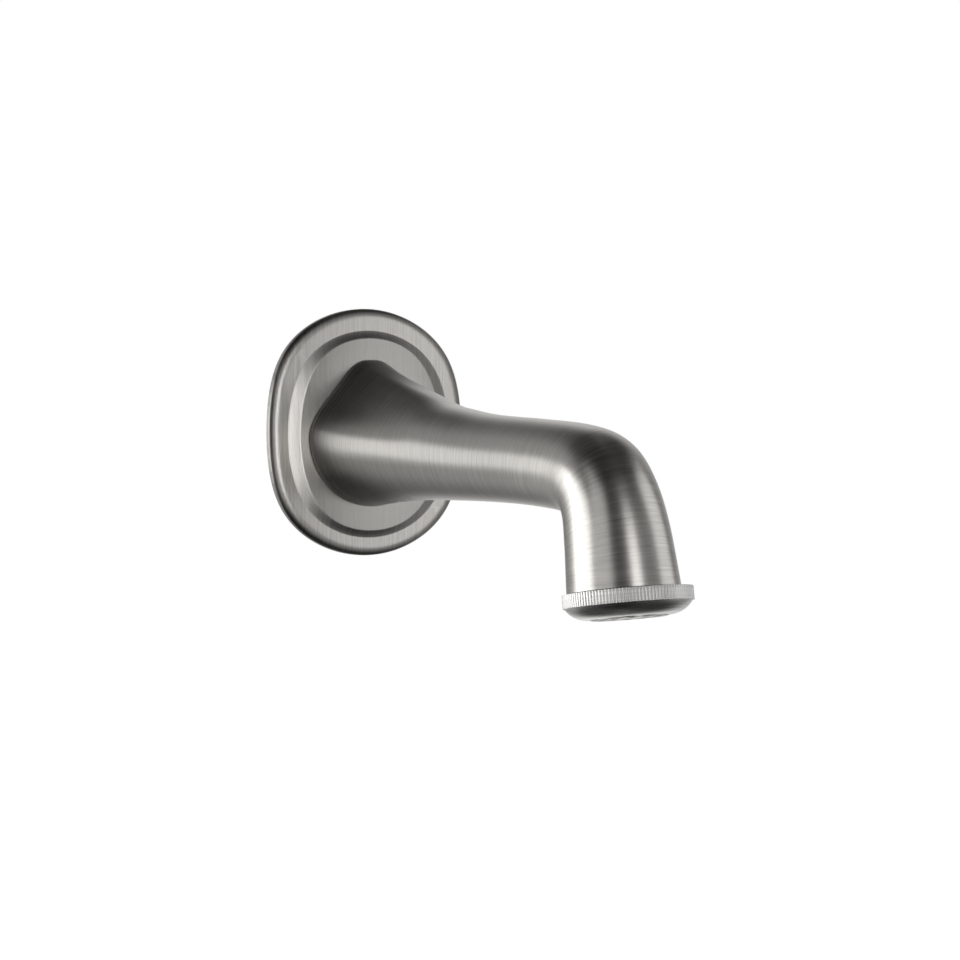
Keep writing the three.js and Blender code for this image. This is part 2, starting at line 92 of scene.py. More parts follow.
# Sections of the neck: distance from the wall, height, radius, and how far they lean, in degrees.
STATIONS = [
    (DISC_DEPTH, -9.0, 17.0, 0),
    (50, -7.2, 18.9, 0.4),
    (94.8, -9.5, 16.3, 1.4),
    (126.7, -10.8, 15.7, 4.3),
    (151.5, -12.65, 16.0, 14.2),
    (163.5, -15.8, 16.85, 31.6),
    (170.4, -22.8, 17.3, 52.5),
    (175.0, -34.7, 18.3, 70.1),
]
START_HEIGHT, START_RADIUS = STATIONS[0][1], STATIONS[0][2]
FLARE_START = 6.6
FOOT_EDGE = 0.4
FOOT_RADIUS = 28.6
FOOT_HEIGHT = -1.45
FOOT_CREST = 2.1
CREST_EDGE = 5
CREST_SOFTNESS = 28
FOOT_DENT = 3.6
DENT_SPAN = 90
FLARE_LENGTH = 64.6
FLARE_EASE = 0.3  # the crest and the hollows melt into the neck over this share of the flare
# How fast each part of the flare dies away along the neck.
FADE = {"top": 1.41, "bottom": 2.16, "centre": 2.09, "crest": 0.95, "dent": 0.85}
FOOT_WALL = 3.2
WATERWAY_WALL = 2.5
FOOT_HOLLOW_DEPTH = 26
WATERWAY_START = 46
WATERWAY_END = 0.93  # as a share of the way along the body
INLET_BORE = 11.2
SET_SCREW_AT = 31
SET_SCREW_HOLE = 3.1
BELOW_FOOT = -45
CUT_PAST = 1  # how far a hole's cutter goes on past the face that it opens

OUTLET_BORE = 13.5
OUTLET_BORE_END = 19
OUTLET_SEAL = (4.0, 6.5)  # the sleeve seal's groove in the outlet bore, and its depth
OUTLET_SEAL_DEPTH = 1.4
RING_RADIUS = 22.4
RING_BAND = 4.9
DISH_RADIUS = 21.8
RING_LIP = 9.2
LIP_RADIUS = 13.9
RING_EDGE = 0.25
LIP_EDGE = 0.15
CLIP_GROOVE = (-2.2, -3.8)  # the wire clip's groove, its top and bottom, cut into ring and sleeve
CLIP_IN_RING = 0.8
CLIP_IN_SLEEVE = 0.5
SLEEVE_RADIUS = 13.2
SLEEVE_BORE = 11.6
SLEEVE_TOP = 12
SLEEVE_END = 7.4
GRILLE_THICKNESS = 1.8
GRILLE_EDGE = 0.25
GRILLE_HOLES = [(12, 2.05, 10.2), (6, 1.6, 6.0)]  # how many, their radius, their distance from the axis
GRILLE_HUB = (3.4, 2.2, 3.6)  # radius, bore, height
GRILLE_SOCKET = 0.9  # how far the hub's bore goes down into the plate
GRILLE_CENTRE = 0.02  # the plate's very middle is left open by a hairline
SEAT_BOTTOM = 14.5
SEAT_TOP = 17.5
TRAVEL = 6
SPRING_RADIUS = 3.1
SPRING_WIRE = 0.45
SPRING_TURNS = 5

TEETH = 116
KNURL_DEPTH = 0.26
KNURL_CREST = 0.55  # share of a tooth's pitch that its flat crest takes
# The knurled band's rounded edges: how far in from its radius, how far down from its top or up from
# its foot, and the share of the knurl's depth there.
BAND_TOP = [(0.6, 0, 0), (0.35, 0.03, 0), (0.14, 0.07, 0.4), (0.03, 0.18, 1), (0, 0.3, 1)]
BAND_FOOT = [(0, 0.24, 1), (0.03, 0.14, 1), (0.14, 0.04, 0.4), (0.3, 0, 0)]

# ---- places ------------------------------------------------------------------------------------


def angles(steps):
    """The angles of even steps round a full turn."""
    return [i / steps * 2 * math.pi for i in range(steps)]


def wall_point(x, up, out):
    """A point of the wall frame, in millimetres, in the row frame in metres."""
    return Vector((x, -out, up)) * MM


def outlet_point(x, y, z):
    """A point along the outlet's axis: z is zero at the diverter ring's top, plus towards the body."""
    up = -DROP - y * math.sin(LEAN) + z * math.cos(LEAN)
    out = REACH - y * math.cos(LEAN) - z * math.sin(LEAN)
    return wall_point(x, up, out)


# ---- meshes ------------------------------------------------------------------------------------

TURNED_STEPS = 96


def new_piece(name, mesh, material, body, slot, *replaced):
    """Links a mesh as a piece that stands for CAD nodes. It rides on a body, or on none."""
    piece = bpy.data.objects.new(name, mesh)
    bpy.context.scene.collection.objects.link(piece)
    piece.data.materials.clear()
    piece.data.materials.append(material)
    if body:
        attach(piece, body)
    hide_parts(*replaced)
    return piece


def ring_mesh(name, rings, closed_row, smooth_angle=40, girth=1.0):
    """Skins rows of points. Each row is a closed ring; closed_row joins the last row to the first.
    The UV map's u runs from row to row in metres, and its v from 0 to `girth` round each ring."""
    count = len(rings[0])
    verts = [p for ring in rings for p in ring]
    rows = len(rings)
    along = [0.0]
    for k in range(1, rows + 1):
        a, b = rings[k - 1], rings[k % rows]
        along.append(along[-1] + sum((b[i] - a[i]).length for i in range(0, count, 8)) / (count / 8))
    faces, uvs = [], []
    for k in range(rows if closed_row else rows - 1):
        for i in range(count):
            j, n = (i + 1) % count, (k + 1) % rows
            faces.append((k * count + i, k * count + j, n * count + j, n * count + i))
            v0, v1 = i / count * girth, (i + 1) / count * girth
            uvs += [(along[k], v0), (along[k], v1), (along[k + 1], v1), (along[k + 1], v0)]
    if not closed_row:
        for k, order in ((0, range(count - 1, -1, -1)), (rows - 1, range(count))):
            faces.append(tuple(k * count + i for i in order))
            uvs += [(0.0, 0.0)] * count
    mesh = bpy.data.meshes.new(name)
    mesh.from_pydata(verts, [], faces)
    layer = mesh.uv_layers.new(name="grain")
    for loop, uv in zip(layer.data, uvs):
        loop.uv = uv
    mesh.validate()
    outward(mesh)
    shade(mesh, smooth_angle)
    return mesh


def outward(mesh):
    """Turns the faces of a closed mesh outwards."""
    mesh.calc_loop_triangles()
    volume = 0.0
    for tri in mesh.loop_triangles:
        a, b, c = (mesh.vertices[i].co for i in tri.vertices)
        volume += a.dot(b.cross(c))
    if volume < 0:
        mesh.flip_normals()


def shade(mesh, angle):
    mesh.shade_smooth()
    mesh.set_sharp_from_angle(angle=math.radians(angle))


def lathe_rings(profile, steps, place):
    """Rows of a turned shape: profile points are (radius, z) in millimetres."""
    return [
        [place(radius * math.cos(a), radius * math.sin(a), z) for a in angles(steps)]
        for radius, z in profile
    ]


def rounded(profile, size):
    """A closed profile with each corner rounded by `size` millimetres."""
    steps = 3
    out = []
    count = len(profile)
    for i in range(count):
        before, here, after = (Vector(profile[(i + d) % count]) for d in (-1, 0, 1))
        a, b = before - here, after - here
        cut = min(size, a.length * 0.4, b.length * 0.4)
        if abs(a.normalized().dot(b.normalized())) > 0.985:
            out.append(tuple(here))
            continue
        start, end = here + a.normalized() * cut, here + b.normalized() * cut
        for k in range(steps + 1):
            t = k / steps
            p = start * (1 - t) ** 2 + here * 2 * t * (1 - t) + end * t ** 2
            out.append(tuple(p))
    return out


def turned(name, profile, place, edge=0.2):
    """A closed turned mesh from a closed profile, with its edges rounded."""
    return ring_mesh(name, lathe_rings(rounded(profile, edge), TURNED_STEPS, place), True)


def supply_circle(radius, out, steps):
    """A circle round the supply axis, from its top over to the right."""
    return [wall_point(radius * math.sin(a), radius * math.cos(a), out) for a in angles(steps)]


def cylinder(name, radius, z0, z1, place, steps=48):
    rings = lathe_rings([(radius, z0), (radius, z1)], steps, place)
    return ring_mesh(name, rings, False)


def carved(mesh, cutters, angle=40):
    """The mesh with the cutters' meshes taken away."""
    base = bpy.data.objects.new("carve_base", mesh)
    bpy.context.scene.collection.objects.link(base)
    helpers = []
    for i, cutter in enumerate(cutters):
        helper = bpy.data.objects.new(f"carve_tool_{i}", cutter)
        bpy.context.scene.collection.objects.link(helper)
        helpers.append(helper)
        step = base.modifiers.new(f"cut_{i}", "BOOLEAN")
        step.operation = "DIFFERENCE"
        step.solver = "EXACT"
        step.object = helper
    graph = bpy.context.evaluated_depsgraph_get()
    result = bpy.data.meshes.new_from_object(base.evaluated_get(graph))
    result.name = mesh.name
    for o in [base, *helpers]:
        bpy.data.objects.remove(o)
    shade(result, angle)
    return result


# ---- wall plate --------------------------------------------------------------------------------

PLATE_STEPS = 288


def plate_ring(outline, inset, z):
    """A ring of the plate: an outline shrunk by `inset` at distance z from the wall."""
    radius, side, blend, drop = outline
    round_part, flat = radius - inset, side - inset
    reach = flat * (1 - (flat / round_part) ** blend) ** (-1 / blend)
    row = []
    for a in angles(PLATE_STEPS):
        away = (round_part ** -blend + (abs(math.sin(a)) / reach) ** blend) ** (-1 / blend)
        row.append(wall_point(away * math.sin(a), away * math.cos(a) - drop, z))
    return row


def between(a, b, t):
    """The outline, or the row of points, a share t of the way from one to another."""
    return [p + (q - p) * t for p, q in zip(a, b)]


def rim_rings(steps):
    """The quarter ellipse from the rim's edge in to the flat band."""
    rings = []
    for k in range(steps + 1):
        a = k / steps * math.pi / 2
        depth = BAND_DEPTH - RIM_ROLL_OUT + RIM_ROLL_OUT * math.sin(a)
        rings.append(plate_ring(RIM_OUTLINE, RIM_ROLL_ACROSS * (1 - math.cos(a)), depth))
    return rings


def cove_rings():
    """The cove from the band up to the disc, with a small rounded brow at the disc's edge."""
    rise = DISC_DEPTH - BAND_DEPTH
    rings = []
    for t in (0, 0.04, 0.12, 0.3, 0.5, 0.7, 0.88, 0.95):
        outline = between(STEP_OUTLINE, DISC_OUTLINE, t)
        rings.append(plate_ring(outline, 0, BAND_DEPTH + rise * t ** COVE_POWER))
    brow_in, brow_down = BROW_MIDDLE
    rings.append(plate_ring(DISC_OUTLINE, brow_in, DISC_DEPTH - brow_down))
    return rings


def hub_rings():
    """The hole for the spout's tail with its o-ring groove, and the hub's outside."""
    front, back = (HUB_BACK + z for z in HUB_GROOVE)
    deep = HUB_HOLE + HUB_GROOVE_DEPTH
    profile = [
        (HUB_HOLE, DISC_DEPTH - HUB_BEVEL), (HUB_HOLE, front), (deep, front), (deep, back),
        (HUB_HOLE, back), (HUB_HOLE, HUB_BACK), (HUB_RADIUS, HUB_BACK),
        (HUB_RADIUS, DISC_DEPTH - PLATE_WALL),
    ]
    return [supply_circle(radius, z, PLATE_STEPS) for radius, z in profile]


def plate_back_rings():
    """The hollow back, from the hub out to the rim's foot."""
    hollow = BAND_DEPTH - PLATE_WALL
    return [
        plate_ring(DISC_OUTLINE, PLATE_WALL, DISC_DEPTH - PLATE_WALL),
        plate_ring(DISC_OUTLINE, PLATE_WALL, hollow),
        plate_ring(RIM_OUTLINE, RIM_WALL, hollow),
        plate_ring(RIM_OUTLINE, RIM_WALL, 0),
    ]


def plate_screw_hole(side):
    """A hole for the plate's screw, left of the middle for side -1 and right of it for side 1."""
    def place(x, y, z):
        return wall_point(side * PLATE_SCREW_ACROSS + x, PLATE_SCREW_HEIGHT + y, z)
    return cylinder("plate_screw_hole", PLATE_SCREW_HOLE, 0, DISC_DEPTH + CUT_PAST, place, 32)


def escutcheon_mesh():
    """The wall plate: rolled rim, flat band, cove, raised disc with the spout's hole, hollow back."""
    rings = [plate_ring(RIM_OUTLINE, RIM_EDGE, 0), plate_ring(RIM_OUTLINE, 0, RIM_EDGE)]
    rings += rim_rings(16)
    band_outside = plate_ring(RIM_OUTLINE, RIM_ROLL_ACROSS + BAND_MARGIN, BAND_DEPTH)
    band_inside = plate_ring(STEP_OUTLINE, -BAND_MARGIN / 2, BAND_DEPTH)
    rings += [between(band_outside, band_inside, t) for t in (0, 0.5, 1)]
    rings += cove_rings()
    face_outside = plate_ring(DISC_OUTLINE, BROW_WIDTH, DISC_DEPTH)
    face_inside = supply_circle(HUB_HOLE + HUB_BEVEL, DISC_DEPTH, PLATE_STEPS)
    rings += [between(face_outside, face_inside, t) for t in (0, 0.5, 1)]
    rings += hub_rings()
    rings += plate_back_rings()
    mesh = flat_grain(ring_mesh("escutcheon", rings, True, 30))
    return carved(mesh, [plate_screw_hole(side) for side in (-1, 1)], 30)


def flat_grain(mesh):
    """A UV map straight across the wall, in metres, for linear brushing up the wall."""
    layer = mesh.uv_layers["grain"]
    for loop in mesh.loops:
        co = mesh.vertices[loop.vertex_index].co
        layer.data[loop.index].uv = (co.x, co.z)
    return mesh


# ---- spout body --------------------------------------------------------------------------------

BODY_STEPS = 144
SKIN_ROWS = 190
WATERWAY_ROWS = 24
HOLLOW_ROWS = 6
BODY_GIRTH = 0.12


def smooth(t):
    """An even S from 0 to 1."""
    t = min(max(t, 0.0), 1.0)
    return t * t * (3 - 2 * t)


def body_stations():
    """The neck's sections with the one at the outlet, which stands square to the outlet's axis."""
    end = (
        REACH - BODY_END_GAP * math.sin(LEAN) - BODY_END_OFFSET * math.cos(LEAN),
        -DROP + BODY_END_GAP * math.cos(LEAN) - BODY_END_OFFSET * math.sin(LEAN),
        BODY_END_RADIUS,
        90 - math.degrees(LEAN),
    )
    return [*STATIONS, end]


def station_at(t):
    """Catmull-Rom through the stations, with t from 0 to 1 over the whole row."""
    rows = body_stations()
    first = [2 * a - b for a, b in zip(rows[0], rows[1])]
    last = [2 * a - b for a, b in zip(rows[-1], rows[-2])]
    rows = [first, *rows, last]
    place = t * (len(rows) - 3)
    k = min(int(place), len(rows) - 4)
    w = place - k
    out = []
    for p0, p1, p2, p3 in zip(rows[k], rows[k + 1], rows[k + 2], rows[k + 3]):
        v0, v1 = (p2 - p0) / 2, (p3 - p1) / 2
        cubic = 2 * p1 - 2 * p2 + v0 + v1
        square = -3 * p1 + 3 * p2 - 2 * v0 - v1
        out.append(cubic * w ** 3 + square * w ** 2 + v0 * w + p1)
    return out


def flare_radius(angle, left):
    """What the flare adds to the neck's radius, by the angle from straight up."""
    degrees = abs(math.degrees(angle))
    crest = 1 - smooth((degrees - CREST_EDGE) / CREST_SOFTNESS)
    across = min(max((degrees - CREST_EDGE) / DENT_SPAN, 0), 1)
    dent = math.sin(across * math.pi) ** 2
    power = FADE["top"] + (FADE["bottom"] - FADE["top"]) * (1 - math.cos(angle)) / 2
    ease = smooth(left / FLARE_EASE)
    return (
        (FOOT_RADIUS - START_RADIUS) * left ** power
        + FOOT_CREST * crest * ease * left ** FADE["crest"]
        - FOOT_DENT * dent * ease * left ** FADE["dent"]
    )


def body_ring(t, inset, out_shift=0.0):
    """A section of the body at a share t of its length, shrunk by `inset`."""
    out, up, radius, tilt = station_at(t)
    slope = math.radians(tilt)
    left = min(max(1 - (out - FLARE_START) / FLARE_LENGTH, 0), 1)
    up += (FOOT_HEIGHT - START_HEIGHT) * left ** FADE["centre"]
    row = []
    for turn in angles(BODY_STEPS):
        angle = turn - 2 * math.pi if turn > math.pi else turn
        r = radius + flare_radius(angle, left) - inset
        row.append(wall_point(
            r * math.sin(angle),
            up + r * math.cos(angle) * math.cos(slope),
            out + out_shift + r * math.cos(angle) * math.sin(slope),
        ))
    return row


def parameter_at(out):
    """The share of the body's length at which it is `out` from the wall, along its straight part."""
    low, high = 0.0, 0.6
    for _ in range(30):
        mid = (low + high) / 2
        if station_at(mid)[0] < out:
            low = mid
        else:
            high = mid
    return low


def bore_ring(radius, z):
    """A circle round the outlet's axis, with the same start and sense as the body's sections."""
    return [
        outlet_point(radius * math.sin(a), -radius * math.cos(a), z) for a in angles(BODY_STEPS)
    ]


def quarter(size, steps):
    """Points of a quarter round, from the edge to the face, as (inwards, out)."""
    turns = [k / steps * math.pi / 2 for k in range(steps + 1)]
    return [(size * (1 - math.cos(a)), size * math.sin(a)) for a in turns]


def outlet_bore_rings():
    """The outlet's bore, from the body's end up past the groove for the sleeve's seal."""
    low, high = OUTLET_SEAL
    deep = OUTLET_BORE + OUTLET_SEAL_DEPTH
    profile = [
        (OUTLET_BORE, BODY_END_GAP), (OUTLET_BORE, low), (deep, low), (deep, high),
        (OUTLET_BORE, high), (OUTLET_BORE, OUTLET_BORE_END),
    ]
    return [bore_ring(radius, z) for radius, z in profile]


def section_rings(start, end, wall, rows):
    """Sections of the body from one share of its length to another, `wall` inside its skin."""
    return [body_ring(start + (end - start) * k / rows, wall) for k in range(rows + 1)]


def set_screw_hole():
    """The hole from below for the grub screw."""
    def place(x, y, z):
        return wall_point(x, z, SET_SCREW_AT + y)
    return cylinder("set_screw_hole", SET_SCREW_HOLE, BELOW_FOOT, -INLET_BORE + CUT_PAST, place)


def spout_mesh():
    """The body: its skin from foot to outlet, then back inside by the waterway to the hollow foot."""
    start = parameter_at(DISC_DEPTH + GAP)
    rings = [body_ring(start, inwards, FOOT_EDGE - out) for inwards, out in quarter(FOOT_EDGE, 3)[::-1]]
    for k in range(1, SKIN_ROWS):
        rings.append(body_ring(start + (1 - start) * k / SKIN_ROWS, 0))
    rings += [body_ring(1, 0), body_ring(1, BODY_END_EDGE)]
    rings += outlet_bore_rings()
    rings += section_rings(WATERWAY_END, parameter_at(WATERWAY_START), WATERWAY_WALL, WATERWAY_ROWS)
    rings += [supply_circle(INLET_BORE, z, BODY_STEPS) for z in (WATERWAY_START, FOOT_HOLLOW_DEPTH)]
    rings += section_rings(parameter_at(FOOT_HOLLOW_DEPTH), start, FOOT_WALL, HOLLOW_ROWS)
    mesh = ring_mesh("spout_body", rings, True, 50, girth=BODY_GIRTH)
    return carved(mesh, [set_screw_hole()], 50)


# ---- outlet ------------------------------------------------------------------------------------

DISH_STEPS = 20
TOOTH_STEPS = 7
RING_GIRTH = 0.14
SPRING_TURN_STEPS = 32
SPRING_WIRE_STEPS = 16


def ring_profile():
    """The knurled ring's profile, from the bore's top round the outside and back: radius, height
    and the share of the knurl's depth that is cut there."""
    bore = SLEEVE_RADIUS + GAP
    rows = [(bore, -RING_EDGE, 0), (bore + RING_EDGE, 0, 0)]
    rows += [(RING_RADIUS - inwards, -down, teeth) for inwards, down, teeth in BAND_TOP]
    rows.append((RING_RADIUS, -RING_BAND / 2, 1))
    rows += [(RING_RADIUS - inwards, -RING_BAND + up, teeth) for inwards, up, teeth in BAND_FOOT]
    slope = 2 * math.atan((RING_LIP - RING_BAND) / (DISH_RADIUS - LIP_RADIUS))
    curve = (DISH_RADIUS - LIP_RADIUS) / math.sin(slope)
    for k in range(DISH_STEPS + 1):
        a = slope * (1 - k / DISH_STEPS)
        rows.append((LIP_RADIUS + curve * math.sin(a), -RING_LIP + curve * (1 - math.cos(a)), 0))
    rows += [(bore + LIP_EDGE, -RING_LIP, 0), (bore, -RING_LIP + LIP_EDGE, 0)]
    top, bottom = CLIP_GROOVE
    deep = bore + CLIP_IN_RING
    rows += [(bore, bottom, 0), (deep, bottom, 0), (deep, top, 0), (bore, top, 0)]
    return rows


def knurl(share):
    """How far a point sits below the crests, by its place in a tooth's pitch."""
    away = abs(share - 0.5) * 2
    return 0.0 if away < KNURL_CREST else ((away - KNURL_CREST) / (1 - KNURL_CREST)) ** 1.3


def ring_piece_mesh():
    """The diverter's ring with its straight knurl."""
    rings = []
    for radius, z, teeth in ring_profile():
        row = []
        for i, a in enumerate(angles(TEETH * TOOTH_STEPS)):
            r = radius - KNURL_DEPTH * teeth * knurl((i % TOOTH_STEPS) / TOOTH_STEPS)
            row.append(outlet_point(r * math.cos(a), r * math.sin(a), z))
        rings.append(row)
    return ring_mesh("diverter_ring", rings, True, 38, girth=RING_GIRTH)


def grille_hole(radius, x, y, bottom, top):
    """A hole of the grille, at x and y from the outlet's axis."""
    def place(px, py, pz):
        return outlet_point(px + x, py + y, pz)
    return cylinder("grille_hole", radius, bottom - CUT_PAST, top + CUT_PAST, place, 28)


def grille_mesh():
    """The outlet plate with its holes and the hub that takes the stem."""
    top = -SLEEVE_END - GAP
    bottom = top - GRILLE_THICKNESS
    hub_radius, hub_bore, hub_height = GRILLE_HUB
    socket = top - GRILLE_SOCKET
    profile = [
        (GRILLE_CENTRE, bottom), (SLEEVE_RADIUS, bottom), (SLEEVE_RADIUS, top), (hub_radius, top),
        (hub_radius, top + hub_height), (hub_bore, top + hub_height), (hub_bore, socket),
        (GRILLE_CENTRE, socket),
    ]
    plate = turned("outlet_grille", profile, outlet_point, edge=GRILLE_EDGE)
    holes = [
        grille_hole(radius, away * math.cos(a), away * math.sin(a), bottom, top)
        for count, radius, away in GRILLE_HOLES
        for a in angles(count)
    ]
    return carved(plate, holes, 40)


def sleeve_mesh():
    """The guide sleeve, with a groove for the ring's wire clip."""
    top, bottom = CLIP_GROOVE
    deep = SLEEVE_RADIUS - CLIP_IN_SLEEVE
    profile = [
        (SLEEVE_BORE, SLEEVE_TOP), (SLEEVE_RADIUS, SLEEVE_TOP), (SLEEVE_RADIUS, top), (deep, top),
        (deep, bottom), (SLEEVE_RADIUS, bottom), (SLEEVE_RADIUS, -SLEEVE_END),
        (SLEEVE_BORE, -SLEEVE_END),
    ]
    return turned("sleeve_tube", profile, outlet_point)


def spring_ends():
    """Where the return spring's wire starts and ends along the outlet's axis: on the seat's hub,
    half-way up the seat, and under the poppet."""
    return (SEAT_BOTTOM + SEAT_TOP) / 2 + GAP + SPRING_WIRE, SEAT_TOP + TRAVEL - SPRING_WIRE


def spring_mesh():
    """A wire wound round the outlet's axis."""
    low, high = spring_ends()
    steps = SPRING_TURNS * SPRING_TURN_STEPS
    rings = []
    for k in range(steps + 1):
        turn = k / steps * SPRING_TURNS * 2 * math.pi
        z = low + (high - low) * k / steps
        row = []
        for a in angles(SPRING_WIRE_STEPS):
            r = SPRING_RADIUS + SPRING_WIRE * math.cos(a)
            row.append(outlet_point(r * math.cos(turn), r * math.sin(turn), z + SPRING_WIRE * math.sin(a)))
        rings.append(row)
    return ring_mesh("return_spring", rings, False)


# ---- materials ---------------------------------------------------------------------------------


def tinted(tone, share):
    """A tone made darker or lighter, at most white."""
    return tuple(min(c * share, 1) for c in tone)


class Tree:
    """Short helpers to build a node tree."""

    def __init__(self, owner):
        owner.use_nodes = True
        self.tree = owner.node_tree
        self.tree.nodes.clear()

    def link(self, a, b):
        self.tree.links.new(a, b)

    def node(self, kind, **settings):
        node = self.tree.nodes.new(kind)
        for key, value in settings.items():
            setattr(node, key, value)
        return node

    def ranged(self, value, low, high, to_low, to_high, **settings):
        node = self.node("ShaderNodeMapRange", **settings)
        limits = (("From Min", low), ("From Max", high), ("To Min", to_low), ("To Max", to_high))
        for key, number in limits:
            node.inputs[key].default_value = number
        self.link(value, node.inputs["Value"])
        return node.outputs["Result"]

    def axis(self, vector, name):
        node = self.node("ShaderNodeSeparateXYZ")
        self.link(vector, node.inputs["Vector"])
        return node.outputs[name]


class Nodes(Tree):
    """A material with one principled shader."""

    def __init__(self, name):
        self.material = bpy.data.materials.new(name)
        super().__init__(self.material)
        out = self.node("ShaderNodeOutputMaterial")
        self.shader = self.node("ShaderNodeBsdfPrincipled")
        self.link(self.shader.outputs["BSDF"], out.inputs["Surface"])

    def coordinates(self, source):
        """The grain's UV map, or the object's own coordinates."""
        if source == "uv":
            return self.node("ShaderNodeUVMap", uv_map="grain").outputs["UV"]
        return self.node("ShaderNodeTexCoord").outputs["Object"]

    def mapped(self, source, scale):
        """Texture coordinates scaled per axis."""
        mapping = self.node("ShaderNodeMapping")
        mapping.inputs["Scale"].default_value = scale
        self.link(self.coordinates(source), mapping.inputs["Vector"])
        return mapping.outputs["Vector"]

    def noise(self, source, scale, detail, roughness):
        node = self.node("ShaderNodeTexNoise")
        node.inputs["Scale"].default_value = 1.0
        node.inputs["Detail"].default_value = detail
        node.inputs["Roughness"].default_value = roughness
        self.link(self.mapped(source, scale), node.inputs["Vector"])
        return node.outputs["Fac"]

    def math(self, operation, a, b):
        node = self.node("ShaderNodeMath", operation=operation)
        for socket, value in zip(node.inputs, (a, b)):
            if isinstance(value, (int, float)):
                socket.default_value = value
            else:
                self.link(value, socket)
        return node.outputs["Value"]

    def mix(self, factor, a, b):
        node = self.node("ShaderNodeMix", data_type="RGBA")
        self.link(factor, node.inputs["Factor"])
        for key, value in (("A", a), ("B", b)):
            socket = [s for s in node.inputs if s.name == key and s.type == "RGBA"][0]
            if isinstance(value, tuple):
                socket.default_value = (*value, 1)
            else:
                self.link(value, socket)
        return [s for s in node.outputs if s.type == "RGBA"][0]

    def worn_and_highlit(self, colour, tone, lift, most):
        """The colour, lighter along edges: partly edge wear, partly a painted highlight along them."""
        edges = self.node("ShaderNodeNewGeometry").outputs["Pointiness"]
        return self.mix(self.ranged(edges, 0.52, 0.6, 0, most), colour, tinted(tone, lift))

    def bump(self, height, strength, distance):
        node = self.node("ShaderNodeBump")
        node.inputs["Strength"].default_value = strength
        node.inputs["Distance"].default_value = distance
        self.link(height, node.inputs["Height"])
        self.link(node.outputs["Normal"], self.shader.inputs["Normal"])


# How far along the ring's profile, in metres from the bore's top edge, the dish starts.
DISH_STARTS = 0.0141
DISH_BLUR = 0.0001
# Where along y, in metres, the painted shade on the raised disc begins and is complete.
DISC_SHADE_SPAN = (-0.00562, -0.00568)
NICKEL = (0.66, 0.645, 0.615)
# A lighter copy of the nickel tone for the knurled ring: painted brightness standing in for the light the
# ring catches.
LIGHTENED_TURNED_NICKEL = (0.95, 0.935, 0.905)


def brushed_nickel(name, fine, coarse, roughness, anisotropic, tone=NICKEL, disc_painted_shade=0.0,
                   dish_finish=0.0):
    """Brushed nickel. `fine` and `coarse` are the grain's scale along u and v of the grain UV map."""
    n = Nodes(name)
    hair = n.noise("uv", fine, 4.0, 0.65)
    streak = n.noise("uv", coarse, 3.0, 0.55)
    cloud = n.noise("object", (22, 22, 22), 2.0, 0.5)
    grain = n.math("ADD", n.math("MULTIPLY", hair, 0.6), n.math("MULTIPLY", streak, 0.4))
    colour = n.mix(n.ranged(grain, 0.37, 0.63, 0, 1), tinted(tone, 0.77), tinted(tone, 1.15))
    warm = tuple(c * k for c, k in zip(tone, (1.0, 0.985, 0.955)))
    colour = n.mix(n.ranged(cloud, 0.35, 0.65, 0.0, 0.3), colour, warm)
    # Edges painted lighter: edge wear and a painted highlight along the rim's edges.
    colour = n.worn_and_highlit(colour, tone, 1.15, 0.5)
    if disc_painted_shade:
        # Painted shade: the raised disc is painted darker than the band round it, standing in for the
        # darker reflection it shows.
        out = n.axis(n.coordinates("object"), "Y")
        colour = n.mix(n.ranged(out, *DISC_SHADE_SPAN, 0, disc_painted_shade), colour, tinted(tone, 0.6))
    n.link(colour, n.shader.inputs["Base Color"])
    rough = n.ranged(grain, 0.3, 0.7, roughness[0], roughness[1])
    if dish_finish:
        # Past the knurled band the ring is turned smooth.
        along = n.axis(n.coordinates("uv"), "X")
        dish = n.ranged(along, DISH_STARTS - DISH_BLUR, DISH_STARTS + DISH_BLUR, 1.0, dish_finish)
        rough = n.math("MULTIPLY", rough, dish)
    n.link(rough, n.shader.inputs["Roughness"])
    n.shader.inputs["Metallic"].default_value = 1.0
    n.shader.inputs["Anisotropic"].default_value = anisotropic
    tangent = n.node("ShaderNodeTangent", direction_type="UV_MAP", uv_map="grain")
    n.link(tangent.outputs["Tangent"], n.shader.inputs["Tangent"])
    n.bump(grain, 0.6, 0.00006)
    return n.material


def plain_metal(name, tone, roughness):
    """A machined metal, fine-grained and cloudy."""
    n = Nodes(name)
    grain = n.noise("object", (900, 900, 900), 4.0, 0.6)
    cloud = n.noise("object", (60, 60, 60), 2.0, 0.5)
    colour = n.mix(n.ranged(cloud, 0.35, 0.65, 0, 1), tinted(tone, 0.8), tone)
    # Edges painted lighter: edge wear and a painted highlight.
    colour = n.worn_and_highlit(colour, tone, 1.2, 0.6)
    n.link(colour, n.shader.inputs["Base Color"])
    n.link(n.ranged(grain, 0.3, 0.7, roughness - 0.06, roughness + 0.08), n.shader.inputs["Roughness"])
    n.shader.inputs["Metallic"].default_value = 1.0
    n.bump(grain, 0.15, 0.00005)
    return n.material


def soft_plain(name, tone, roughness, grain_scale, depth):
    """Rubber, foam, fibre or plastic, with its pores `depth` metres deep."""
    n = Nodes(name)
    grain = n.noise("object", (grain_scale,) * 3, 5.0, 0.65)
    cloud = n.noise("object", (80, 80, 80), 2.0, 0.5)
    colour = n.mix(n.ranged(cloud, 0.35, 0.65, 0, 1), tinted(tone, 0.75), tone)
    n.link(colour, n.shader.inputs["Base Color"])
    rough = n.ranged(grain, 0.3, 0.7, roughness - 0.08, min(roughness + 0.06, 1))
    n.link(rough, n.shader.inputs["Roughness"])
    n.bump(grain, 0.3, depth)
    return n.material


